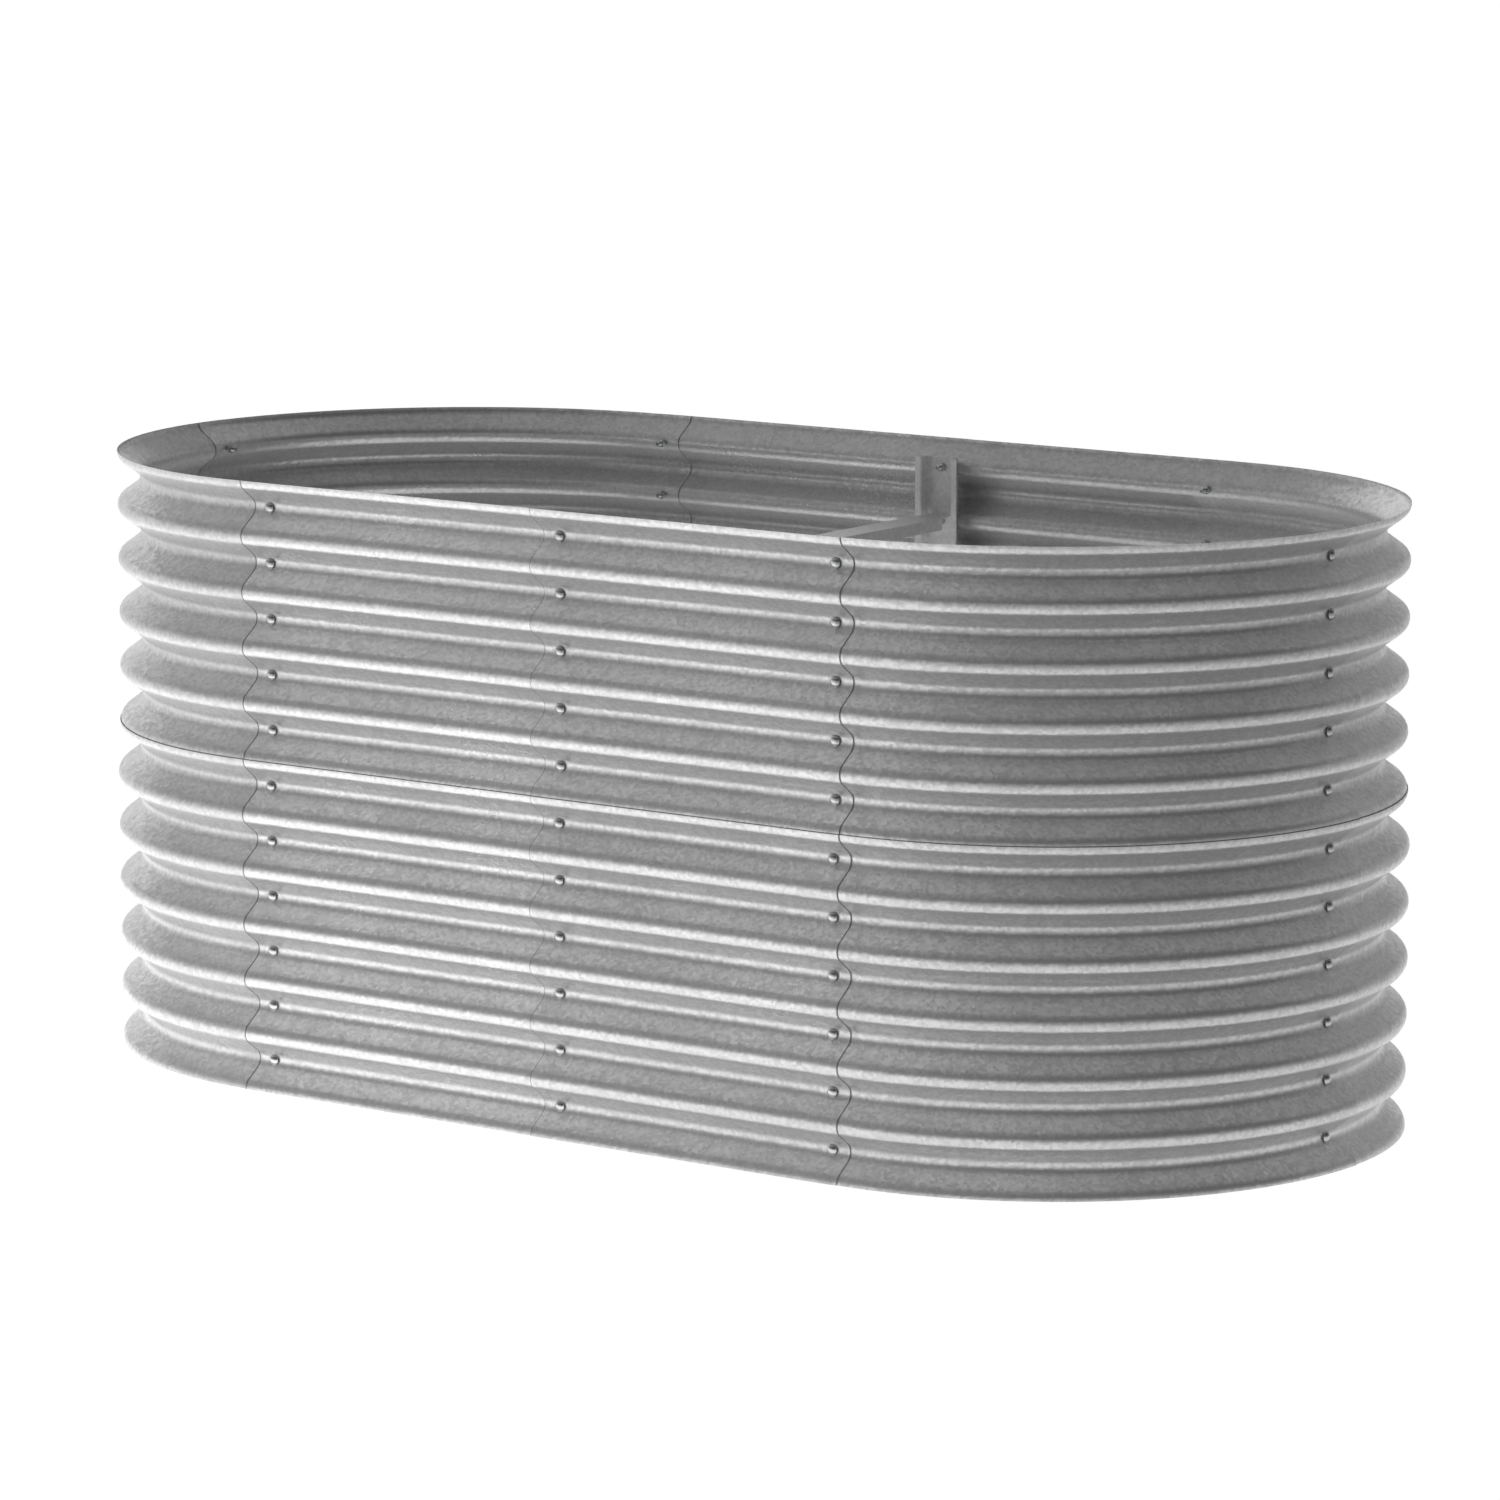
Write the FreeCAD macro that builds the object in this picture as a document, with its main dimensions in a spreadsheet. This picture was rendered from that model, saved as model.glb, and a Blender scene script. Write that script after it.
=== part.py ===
"""Raised garden bed: an oval wall of two stacked tiers of corrugated steel panels.

Each tier is a ring of eight overlapping panels, four straight walls and four
quarter-round curves. The lower tier laps over the outside of the upper one by one
wave. Bolts in every valley close the laps, two hat-section posts stiffen the
middle of the long sides, and braces tie the posts together across the bed.

Millimetres. X runs along the bed, the front is at -Y, Z is up and the origin is on
the ground below the centre of the oval.
"""
import FreeCAD, Part
import math
import os

import Sketcher
from FreeCAD import Placement, Rotation, Vector

SIZES = (
    # the corrugation, measured on the middle of the sheet
    ("wave_pitch", 72.0, "height of one wave"),
    ("wave_depth", 30.0, "crest to valley"),
    ("bend_radius", 14.0, "rounding of crests and valleys"),
    ("sheet_gauge", 0.6, "panel sheet"),
    ("waves_per_panel", 6, "waves in a panel, cut from crest to crest"),
    ("waves_shared", 1, "waves by which the tiers overlap"),
    # the oval
    ("straight_run", 930.0, "distance between the centres of the two ends"),
    ("end_radius", 438.0, "middle of the innermost panel, from the end's centre"),
    ("lap_length", 50.0, "overlap of neighbouring panels"),
    ("bolt_inset", 25.0, "bolt line to the edge of the outer panel"),
    ("lap_gap", 0.22, "air between the flanks of nested panels"),
    # fasteners
    ("hole_width", 7.0, "bolt holes"),
    ("bolt_width", 6.0, "bolt shank"),
    ("bolt_length", 18.0, "bolt below its head"),
    ("head_width", 14.0, "domed head"),
    ("head_rise", 3.6, "height of the domed head"),
    ("head_rim", 0.8, "straight rim of the head"),
    ("washer_width", 12.0, "washer"),
    ("washer_gauge", 1.2, "washer thickness"),
    ("nut_flats", 10.0, "nut across its flats"),
    ("nut_height", 5.0, "nut"),
    ("bore_gap", 0.15, "nut and washer bores around the shank"),
    ("seat_gap", 0.1, "air where a flat face meets a curved sheet"),
    # posts
    ("post_web", 49.0, "outer width of the post's web"),
    ("post_depth", 18.0, "web face to lip face"),
    ("post_lip", 8.5, "lip beyond the flange"),
    ("post_gauge", 1.5, "post sheet"),
    ("post_bend", 1.5, "inner radius of the post's bends"),
    ("post_drop", 22.0, "post end below the rim and above the ground"),
    # braces
    ("brace_depth", 16.0, "height of the channel"),
    ("brace_gauge", 1.5, "brace sheet"),
    ("brace_bend", 1.2, "outer rounding of the channel's bends"),
    ("brace_side_gap", 0.5, "brace to post flange"),
    ("brace_taper", 34.0, "length of the tapered end"),
    ("brace_tab", 30.0, "width of the bolted end tab"),
    ("brace_row", 2, "valley that holds the brace, counted from a tier's rim"),
)

# Nesting levels: how many sheets out from the innermost one each panel lies.
LEVELS = {
    "back_left_curve": 0,
    "back_right_curve": 0,
    "front_left_curve": 1,
    "front_right_curve": 1,
    "back_right_wall": 1,
    "back_left_wall": 2,
    "front_left_wall": 2,
    "front_right_wall": 3,
}
TIERS = {"upper": 0, "lower": 3}  # the lower tier starts three levels further out

# Bolt columns: side of the bed, its outer and inner panel, and whether a post is there.
COLUMNS = {
    "front_left": ("front_left_wall", "front_left_curve", False),
    "front_middle": ("front_right_wall", "front_left_wall", True),
    "front_right": ("front_right_wall", "front_right_curve", False),
    "right_end": ("front_right_curve", "back_right_curve", False),
    "back_right": ("back_right_wall", "back_right_curve", False),
    "back_middle": ("back_left_wall", "back_right_wall", True),
    "back_left": ("back_left_wall", "back_left_curve", False),
    "left_end": ("front_left_curve", "back_left_curve", False),
}

doc = FreeCAD.newDocument("RaisedBed")


# ---------------------------------------------------------------- sizes
def fill_sheet():
    sheet = doc.addObject("Spreadsheet::Sheet", "Sizes")
    for row, (alias, value, note) in enumerate(SIZES, start=1):
        sheet.set("A%d" % row, alias)
        sheet.set("B%d" % row, str(value))
        sheet.set("C%d" % row, note)
        sheet.setAlias("B%d" % row, alias)
    doc.recompute()
    return sheet


def derive_fits():
    """Sizes that follow from the sheet and are shared by several pieces."""
    half_wave = "(Sizes.wave_pitch / 2)"
    offset = "(Sizes.wave_depth - 2 * Sizes.bend_radius)"
    formulas = (
        # tilt from the vertical of the flank that touches both roundings
        ("flank_tilt", "App::PropertyAngle",
         "atan(%s / %s) + asin(2 * Sizes.bend_radius / sqrt(%s^2 + %s^2))"
         % (offset, half_wave, half_wave, offset)),
        # outward step that leaves lap_gap between the flanks of equal waves
        ("nest_step", "App::PropertyFloat",
         "(Sizes.sheet_gauge + Sizes.lap_gap) / cos(flank_tilt)"),
        ("panel_height", "App::PropertyFloat", "Sizes.waves_per_panel * Sizes.wave_pitch"),
        ("tier_lift", "App::PropertyFloat",
         "(Sizes.waves_per_panel - Sizes.waves_shared) * Sizes.wave_pitch"),
        ("bolt_rows", "App::PropertyInteger", "2 * Sizes.waves_per_panel - Sizes.waves_shared"),
        # angles that the bolt line and the lap take up on the curved ends
        ("inset_angle", "App::PropertyAngle", "Sizes.bolt_inset / Sizes.end_radius * 1rad"),
        ("lap_angle", "App::PropertyAngle", "Sizes.lap_length / Sizes.end_radius * 1rad"),
        # middle of the innermost sheet in its valleys, from the axis of the oval
        ("valley_line", "App::PropertyFloat", "Sizes.end_radius - Sizes.wave_depth / 2"),
        ("brace_width", "App::PropertyFloat",
         "Sizes.post_web - 2 * Sizes.post_gauge - 2 * Sizes.brace_side_gap"),
    )
    holder = doc.addObject("App::VarSet", "Fits")
    for name, kind, formula in formulas:
        holder.addProperty(kind, name, "Fits")
        holder.setExpression(name, formula)
    doc.recompute()
    return holder


sizes = fill_sheet()
fits = derive_fits()


def value(formula):
    """Present value of a formula of the sheet, as a plain number."""
    result = sizes.evalExpression(str(formula))
    return float(getattr(result, "Value", result))


def web_face(side):
    """Formula for the outer face of a post's web, from the axis of the oval.

    The web rests on the valleys of the innermost upper panel at its column.
    """
    level = LEVELS[COLUMNS[side + "_middle"][1]]
    return ("(Fits.valley_line + %d * Fits.nest_step - Sizes.sheet_gauge / 2 - Sizes.seat_gap)"
            % level)


# ---------------------------------------------------------------- helpers
def new_body(name, spin=0.0, about=Vector(0, 0, 1), **base):
    """A named piece, turned about one axis, with formulas for its x, y and z."""
    body = doc.addObject("PartDesign::Body", name)
    body.Placement = Placement(Vector(), Rotation(about, spin))
    for letter, formula in base.items():
        body.setExpression("Placement.Base." + letter, formula)
    return body


def origin_feature(body, role):
    return next(f for f in body.Origin.OriginFeatures if f.Role == role)


def new_sketch(body, plane, name, lift=None):
    sketch = body.newObject("Sketcher::SketchObject", name)
    sketch.AttachmentSupport = [(origin_feature(body, plane), "")]
    sketch.MapMode = "FlatFace"
    if lift:
        sketch.setExpression("AttachmentOffset.Base.z", lift)
    return sketch


def relate(sketch, kind, *where):
    return sketch.addConstraint(Sketcher.Constraint(kind, *where))


def measure(sketch, kind, *where, size):
    """Driving dimension tied to a formula of the sheet."""
    index = relate(sketch, kind, *where, value(size))
    sketch.setExpression("Constraints[%d]" % index, size)


def locate(sketch, kind, geometry, point, size):
    """Tie one coordinate of a point to a formula, measured from the origin."""
    if abs(value(size)) < 1e-9:
        relate(sketch, "PointOnObject", geometry, point, -2 if kind == "DistanceX" else -1)
    elif value(size) > 0:
        measure(sketch, kind, -1, 1, geometry, point, size=size)
    else:
        measure(sketch, kind, geometry, point, -1, 1, size="-(%s)" % size)


def outline(sketch, corners):
    """Closed outline through corners that are pairs of formulas for x and y."""
    points = [Vector(value(x), value(y), 0) for x, y in corners]
    count = len(corners)
    edges = [sketch.addGeometry(Part.LineSegment(points[i], points[(i + 1) % count]), False)
             for i in range(count)]
    for i, edge in enumerate(edges):
        relate(sketch, "Coincident", edges[i - 1], 2, edge, 1)
        (x_before, y_before), (x_size, y_size) = corners[i - 1], corners[i]
        if x_before == x_size:
            relate(sketch, "Vertical", edges[i - 1])
        else:
            locate(sketch, "DistanceX", edge, 1, x_size)
        if y_before == y_size:
            relate(sketch, "Horizontal", edges[i - 1])
        else:
            locate(sketch, "DistanceY", edge, 1, y_size)


def circle(sketch, diameter, x_size, y_size):
    centre = Vector(value(x_size), value(y_size), 0)
    index = sketch.addGeometry(Part.Circle(centre, Vector(0, 0, 1), value(diameter) / 2), False)
    measure(sketch, "Diameter", index, size=diameter)
    locate(sketch, "DistanceX", index, 3, x_size)
    locate(sketch, "DistanceY", index, 3, y_size)


def pad(body, name, sketch, length, downwards=False):
    feature = body.newObject("PartDesign::Pad", name)
    feature.Profile = sketch
    feature.Reversed = downwards
    feature.setExpression("Length", length)
    return feature


def drill(body, name, sketch, both_ways=False):
    """Cut a sketch on the XZ plane through what lies at -y, or on both sides of it."""
    pocket = body.newObject("PartDesign::Pocket", name)
    pocket.Profile = sketch
    pocket.Type = "ThroughAll"
    pocket.Reversed = not both_ways
    pocket.Midplane = both_ways
    return pocket


def repeat_upwards(body, name, count, originals=()):
    """Repeat the named features, or else the whole body, once per wave."""
    pattern = body.newObject("PartDesign::LinearPattern", name)
    pattern.TransformMode = "Features" if originals else "Whole shape"
    pattern.Originals = list(originals)
    pattern.Direction = (origin_feature(body, "Z_Axis"), [""])
    pattern.setExpression("Occurrences", count)
    pattern.setExpression("Length", "(%s - 1) * Sizes.wave_pitch" % count)
    body.Tip = pattern


def bend(body, name, radius, along, corners):
    """Round the straight edges along one axis that pass through the given points."""
    doc.recompute()
    names = []
    for number, edge in enumerate(body.Tip.Shape.Edges, start=1):
        if edge.Curve.TypeId != "Part::GeomLine":
            continue
        start, end = (vertex.Point for vertex in edge.Vertexes)
        if (end - start).cross(along).Length > 1e-6:
            continue
        if any((corner - start).cross(along).Length < 1e-4 for corner in corners):
            names.append("Edge%d" % number)
    base = body.Tip
    fillet = body.newObject("PartDesign::Fillet", name)
    fillet.Base = (base, names)
    fillet.setExpression("Radius", radius)


# ---------------------------------------------------------------- panels
def wave_section(body, level):
    """One wave of sheet on the YZ plane, crest to crest, with its outside at -y.

    Both faces of the sheet are arcs about the same three centres, joined by tangents.
    """
    radius, gauge = sizes.bend_radius, sizes.sheet_gauge
    tilt = math.radians(value("Fits.flank_tilt"))
    middle = "(Sizes.end_radius + %d * Fits.nest_step)" % level
    crest_size = middle + " + Sizes.wave_depth / 2 - Sizes.bend_radius"
    valley_size = middle + " - Sizes.wave_depth / 2 + Sizes.bend_radius"
    centres = [Vector(-value(crest_size), 0, 0),
               Vector(-value(valley_size), sizes.wave_pitch / 2, 0),
               Vector(-value(crest_size), sizes.wave_pitch, 0)]
    sketch = new_sketch(body, "YZ_Plane", "WaveSection")
    faces = []
    for swell in (gauge / 2, -gauge / 2):  # outer face, then inner face
        arcs = [Part.ArcOfCircle(Part.Circle(centre, Vector(0, 0, 1), size), start, end)
                for centre, size, start, end in (
                    (centres[0], radius + swell, math.pi - tilt, math.pi),
                    (centres[1], radius - swell, -tilt, tilt),
                    (centres[2], radius + swell, math.pi, math.pi + tilt))]
        low, dip, top = (sketch.addGeometry(arc, False) for arc in arcs)
        rising = sketch.addGeometry(
            Part.LineSegment(arcs[0].StartPoint, arcs[1].StartPoint), False)
        falling = sketch.addGeometry(
            Part.LineSegment(arcs[1].EndPoint, arcs[2].EndPoint), False)
        for first, first_end, second, second_end in (
                (low, 1, rising, 1), (rising, 2, dip, 1), (dip, 2, falling, 1), (falling, 2, top, 2)):
            relate(sketch, "Tangent", first, first_end, second, second_end)
        for arc, sign in ((low, "+"), (dip, "-"), (top, "+")):
            if swell < 0:
                sign = "-" if sign == "+" else "+"
            measure(sketch, "Radius", arc, size="Sizes.bend_radius %s Sizes.sheet_gauge / 2" % sign)
        faces.append((low, dip, top))
    (low, dip, top), (low_inside, dip_inside, top_inside) = faces
    for outer, inner in zip(*faces):
        relate(sketch, "Coincident", outer, 3, inner, 3)
    relate(sketch, "PointOnObject", low, 3, -1)
    relate(sketch, "Vertical", low, 3, top, 3)
    measure(sketch, "DistanceX", low, 3, -1, 1, size=crest_size)
    measure(sketch, "DistanceX", dip, 3, -1, 1, size=valley_size)
    measure(sketch, "DistanceY", -1, 1, dip, 3, size="Sizes.wave_pitch / 2")
    measure(sketch, "DistanceY", -1, 1, top, 3, size="Sizes.wave_pitch")
    for outer, inner, point in ((low, low_inside, 2), (top, top_inside, 1)):
        ends = [Vector(centres[0].x - radius - swell, 0 if outer == low else sizes.wave_pitch, 0)
                for swell in (gauge / 2, -gauge / 2)]
        cut = sketch.addGeometry(Part.LineSegment(*ends), False)
        relate(sketch, "Coincident", outer, point, cut, 1)
        relate(sketch, "Coincident", inner, point, cut, 2)
        relate(sketch, "Horizontal", cut)
        relate(sketch, "Horizontal", outer, 3, outer, point)
    return sketch


def base_height(tier):
    return "Fits.tier_lift" if tier == "upper" else "0"


def build_wall(tier, side, half):
    """Straight panel over one half of a long side.

    The left one runs on past the middle by the lap. The back ones are the front ones
    turned upside down.
    """
    place = "%s_%s_wall" % (side, half)
    start = "-Sizes.straight_run / 2" if half == "left" else "0"
    length = "Sizes.straight_run / 2" + (" + Sizes.lap_length" if half == "left" else "")
    far_bolt = "Sizes.straight_run / 2" + (" + " if half == "left" else " - ") + "Sizes.bolt_inset"
    height = base_height(tier)
    if side == "back":
        body = new_body(tier + "_" + place, 180, Vector(1, 0, 0),
                        x=start, z=height + " + Fits.panel_height")
    else:
        body = new_body(tier + "_" + place, x=start, z=height)
    pad(body, "Sheet", wave_section(body, LEVELS[place] + TIERS[tier]), length)
    holes = new_sketch(body, "XZ_Plane", "BoltHoles")
    circle(holes, "Sizes.hole_width", "Sizes.bolt_inset", "Sizes.wave_pitch / 2")
    circle(holes, "Sizes.hole_width", far_bolt, "Sizes.wave_pitch / 2")
    drill(body, "Drilling", holes)
    repeat_upwards(body, "Waves", "Sizes.waves_per_panel")
    return body


def build_curve(tier, side, half):
    """Quarter-round panel with a short straight tail that laps with the wall.

    Front left and back right run on past the tip of the oval by the lap. The back
    ones are modelled like the front ones and turned half round.
    """
    place = "%s_%s_curve" % (side, half)
    long_arc = place in ("front_left_curve", "back_right_curve")
    turn = "-" if long_arc else "+"  # sense of the arc, seen from above
    body = new_body(tier + "_" + place, 180 if side == "back" else 0,
                    x=("-" if half == "left" else "") + "Sizes.straight_run / 2",
                    z=base_height(tier))
    section = wave_section(body, LEVELS[place] + TIERS[tier])
    arc = body.newObject("PartDesign::Revolution", "Arc")
    arc.Profile = section
    arc.ReferenceAxis = (section, ["V_Axis"])
    arc.Reversed = long_arc
    arc.setExpression("Angle", "90deg" + (" + Fits.lap_angle" if long_arc else ""))
    pad(body, "Tail", section, "Sizes.lap_length", downwards=not long_arc)
    tail_hole = new_sketch(body, "XZ_Plane", "TailHole")
    circle(tail_hole, "Sizes.hole_width", ("" if long_arc else "-") + "Sizes.bolt_inset",
           "Sizes.wave_pitch / 2")
    drill(body, "TailDrilling", tail_hole)
    tip_hole = new_sketch(body, "XZ_Plane", "TipHole")
    tip_hole.AttachmentOffset = Placement(Vector(), Rotation(Vector(0, 1, 0), 1))
    tip_hole.setExpression("AttachmentOffset.Rotation.Angle",
                           "%s(90deg %s Fits.inset_angle)" % (("-", "+") if long_arc else ("", "-")))
    circle(tip_hole, "Sizes.hole_width", "0", "Sizes.wave_pitch / 2")
    drill(body, "TipDrilling", tip_hole)
    repeat_upwards(body, "Waves", "Sizes.waves_per_panel")
    return body


# ---------------------------------------------------------------- posts and braces
def build_post(side):
    """Hat-section post inside the middle of a long side, open towards the bed."""
    half, inner = "Sizes.post_web / 2", "Sizes.post_web / 2 - Sizes.post_gauge"
    lip = "Sizes.post_web / 2 + Sizes.post_lip"
    depth, lip_face = "Sizes.post_depth", "Sizes.post_depth - Sizes.post_gauge"
    right = [(half, "0"), (half, lip_face), (lip, lip_face), (lip, depth), (inner, depth),
             (inner, "Sizes.post_gauge")]
    left = [("-(%s)" % x, y) for x, y in reversed(right)]
    body = new_body(side + "_post", 180 if side == "back" else 0, x="Sizes.bolt_inset",
                    y=("-" if side == "front" else "") + web_face(side), z="Sizes.post_drop")
    section = new_sketch(body, "XY_Plane", "HatSection")
    outline(section, right + left)
    pad(body, "Length", section,
        "Fits.tier_lift + Fits.panel_height - 2 * Sizes.post_drop")
    corners = [Vector(value(x), value(y), 0) for x, y in right + left]
    inside = [corners[i] for i in (1, 5, 6, 10)]
    outside = [corners[i] for i in (0, 4, 7, 11)]
    bend(body, "InsideBends", "Sizes.post_bend", Vector(0, 0, 1), inside)
    bend(body, "OutsideBends", "Sizes.post_bend + Sizes.post_gauge", Vector(0, 0, 1), outside)
    hole = new_sketch(body, "XZ_Plane", "BoltHole")
    circle(hole, "Sizes.hole_width", "0", "Sizes.wave_pitch / 2 - Sizes.post_drop")
    drilling = drill(body, "Drilling", hole, both_ways=True)
    repeat_upwards(body, "HoleRow", "Fits.bolt_rows", [drilling])
    return body


def brace_height(tier):
    """Middle of the brace: a valley counted down from the tier's rim."""
    return base_height(tier) + " + Fits.panel_height - (Sizes.brace_row - 0.5) * Sizes.wave_pitch"


def build_brace(tier):
    """Channel across the bed, open below, whose end tabs are bolted inside the posts."""
    front, back = ("(%s - Sizes.post_gauge)" % web_face(side) for side in ("front", "back"))
    half_width, half_tab = "Fits.brace_width / 2", "Sizes.brace_tab / 2"
    gauge, taper = "Sizes.brace_gauge", "Sizes.brace_taper"
    half_length = "(%s + %s) / 2" % (front, back)
    shoulder = "%s - %s" % (half_length, taper)
    body = new_body(tier + "_brace", x="Sizes.bolt_inset", y="(%s - %s) / 2" % (back, front),
                    z=brace_height(tier))

    def mirrored(x, y):
        return [(x, y), ("-(%s)" % x, y), ("-(%s)" % x, "-(%s)" % y), (x, "-(%s)" % y)]

    top = new_sketch(body, "XY_Plane", "TopOutline", lift="Sizes.brace_depth / 2")
    quarter = [(half_width, shoulder), (half_tab, half_length)]
    outline(top, quarter + [("-(%s)" % x, y) for x, y in reversed(quarter)]
            + [("-(%s)" % x, "-(%s)" % y) for x, y in quarter]
            + [(x, "-(%s)" % y) for x, y in reversed(quarter)])
    pad(body, "Top", top, gauge, downwards=True)
    rim = new_sketch(body, "XY_Plane", "FlangesAndTabs", lift="Sizes.brace_depth / 2")
    for sign in ("", "-"):
        near, far = sign + "(%s)" % half_width, sign + "(%s - %s)" % (half_width, gauge)
        outline(rim, [(near, shoulder), (far, shoulder),
                      (far, "-(%s)" % shoulder), (near, "-(%s)" % shoulder)])
        end, inside = sign + "(%s)" % half_length, sign + "(%s - %s)" % (half_length, gauge)
        outline(rim, [(half_tab, end), ("-" + half_tab, end),
                      ("-" + half_tab, inside), (half_tab, inside)])
    pad(body, "Sides", rim, "Sizes.brace_depth", downwards=True)
    top_z = value("Sizes.brace_depth / 2")
    sides = [Vector(sign * value(half_width), 0, top_z) for sign in (1, -1)]
    ends = [Vector(0, sign * value(half_length), top_z) for sign in (1, -1)]
    bend(body, "LongBends", "Sizes.brace_bend", Vector(0, 1, 0), sides)
    bend(body, "TabBends", "Sizes.brace_bend", Vector(1, 0, 0), ends)
    hole = new_sketch(body, "XZ_Plane", "BoltHole")
    circle(hole, "Sizes.hole_width", "0", "0")
    drill(body, "Drilling", hole, both_ways=True)
    return body


# ---------------------------------------------------------------- fasteners
def bolt_form():
    """Domed bolt along Z: the head stands on the XY plane, the shank hangs below."""
    body = new_body("bolt_form")
    sketch = new_sketch(body, "XZ_Plane", "Profile")
    shank, head = sizes.bolt_width / 2, sizes.head_width / 2
    rim, rise, length = sizes.head_rim, sizes.head_rise, sizes.bolt_length
    points = [Vector(*xy, 0) for xy in ((0, -length), (shank, -length), (shank, 0), (head, 0),
                                        (head, rim), (0, rise))]
    end, side, seat, edge = (sketch.addGeometry(Part.LineSegment(a, b), False)
                             for a, b in zip(points, points[1:5]))
    crown_radius = (head ** 2 + (rise - rim) ** 2) / (2 * (rise - rim))
    crown = Part.Circle(Vector(0, rise - crown_radius, 0), Vector(0, 0, 1), crown_radius)
    start = math.atan2(rim - rise + crown_radius, head)
    dome = sketch.addGeometry(Part.ArcOfCircle(crown, start, math.pi / 2), False)
    axis = sketch.addGeometry(Part.LineSegment(points[5], points[0]), False)
    for first, second in ((end, side), (side, seat), (seat, edge), (axis, end)):
        relate(sketch, "Coincident", first, 2, second, 1)
    relate(sketch, "Coincident", edge, 2, dome, 1)
    relate(sketch, "Coincident", dome, 2, axis, 1)
    for line, way in ((end, "Horizontal"), (side, "Vertical"), (seat, "Horizontal"),
                      (edge, "Vertical")):
        relate(sketch, way, line)
    relate(sketch, "PointOnObject", axis, 1, -2)
    relate(sketch, "PointOnObject", axis, 2, -2)
    relate(sketch, "PointOnObject", dome, 3, -2)
    relate(sketch, "PointOnObject", seat, 1, -1)
    measure(sketch, "DistanceX", -1, 1, side, 2, size="Sizes.bolt_width / 2")
    measure(sketch, "DistanceX", -1, 1, edge, 1, size="Sizes.head_width / 2")
    measure(sketch, "DistanceY", side, 1, -1, 1, size="Sizes.bolt_length")
    measure(sketch, "DistanceY", -1, 1, edge, 2, size="Sizes.head_rim")
    measure(sketch, "DistanceY", -1, 1, dome, 2, size="Sizes.head_rise")
    turned = body.newObject("PartDesign::Revolution", "Turning")
    turned.Profile = sketch
    turned.ReferenceAxis = (sketch, ["V_Axis"])
    turned.Angle = 360
    return body


def washer_form():
    """Plain washer below the XY plane."""
    body = new_body("washer_form")
    ring = new_sketch(body, "XY_Plane", "Ring")
    circle(ring, "Sizes.washer_width", "0", "0")
    circle(ring, "Sizes.bolt_width + 2 * Sizes.bore_gap", "0", "0")
    pad(body, "Plate", ring, "Sizes.washer_gauge", downwards=True)
    return body


def nut_form():
    """Hexagon nut below the XY plane."""
    body = new_body("nut_form")
    hexagon = new_sketch(body, "XY_Plane", "Hexagon")
    half = "Sizes.nut_flats / 2"
    reach, corner = "Sizes.nut_flats / sqrt(3)", "Sizes.nut_flats / sqrt(12)"
    outline(hexagon, [(reach, "0"), (corner, half), ("-" + corner, half),
                      ("-" + reach, "0"), ("-" + corner, "-" + half), (corner, "-" + half)])
    circle(hexagon, "Sizes.bolt_width + 2 * Sizes.bore_gap", "0", "0")
    pad(body, "Height", hexagon, "Sizes.nut_height", downwards=True)
    return body


def column_line(column):
    """Centre about which a bolt column's outward direction is drawn, and that direction."""
    side, place = column.split("_")
    half_run, inset = sizes.straight_run / 2, sizes.bolt_inset
    if place == "end":
        x = half_run if side == "right" else -half_run
        angle = (0 if side == "right" else 180) - value("Fits.inset_angle")
    else:
        x = {"left": inset - half_run, "middle": inset, "right": half_run - inset}[place]
        angle = -90 if side == "front" else 90
    angle = math.radians(angle)
    return Vector(x, 0, 0), Vector(math.cos(angle), math.sin(angle), 0)


def stack_heights(column, row):
    """Distances from the axis of the oval to the bolt head's seat and the washer's seat."""
    outer, inner, has_post = COLUMNS[column]
    in_lower = row < sizes.waves_per_panel
    in_upper = row >= sizes.waves_per_panel - sizes.waves_shared
    outer_level = LEVELS[outer] + (TIERS["lower"] if in_lower else 0)
    inner_level = LEVELS[inner] + (0 if in_upper else TIERS["lower"])
    valley, step = value("Fits.valley_line"), value("Fits.nest_step")
    groove = sizes.bend_radius - sizes.sheet_gauge / 2
    sag = groove - math.sqrt(groove ** 2 - (sizes.head_width / 2) ** 2)
    head = valley + outer_level * step + sizes.sheet_gauge / 2 + sag + sizes.seat_gap
    washer = valley + inner_level * step - sizes.sheet_gauge / 2 - sizes.seat_gap
    if has_post:
        washer = value(web_face(column.split("_")[0])) - sizes.post_gauge
        height = (row + 0.5) * sizes.wave_pitch
        if any(abs(height - value(brace_height(tier))) < 1e-6 for tier in TIERS):
            washer -= sizes.brace_gauge
    return head, washer


def build_fasteners(column, forms):
    """The bolts, washers and nuts of one column, one of each in every valley."""
    centre, outward = column_line(column)
    turn = Rotation(Vector(0, 0, 1), outward)
    copies = {kind: [] for kind in forms}
    for row in range(int(fits.bolt_rows)):
        head, washer = stack_heights(column, row)
        seats = {"bolts": head, "washers": washer, "nuts": washer - sizes.washer_gauge}
        for kind, seat in seats.items():
            copy = forms[kind].Shape.copy()
            height = Vector(0, 0, (row + 0.5) * sizes.wave_pitch)
            copy.Placement = Placement(centre + outward * seat + height, turn)
            copies[kind].append(copy)
    groups = []
    for kind, solids in copies.items():
        group = doc.addObject("Part::Feature", "%s_%s" % (column, kind))
        group.Shape = Part.makeCompound(solids)
        group.Placement = Placement()
        groups.append(group)
    return groups


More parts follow.
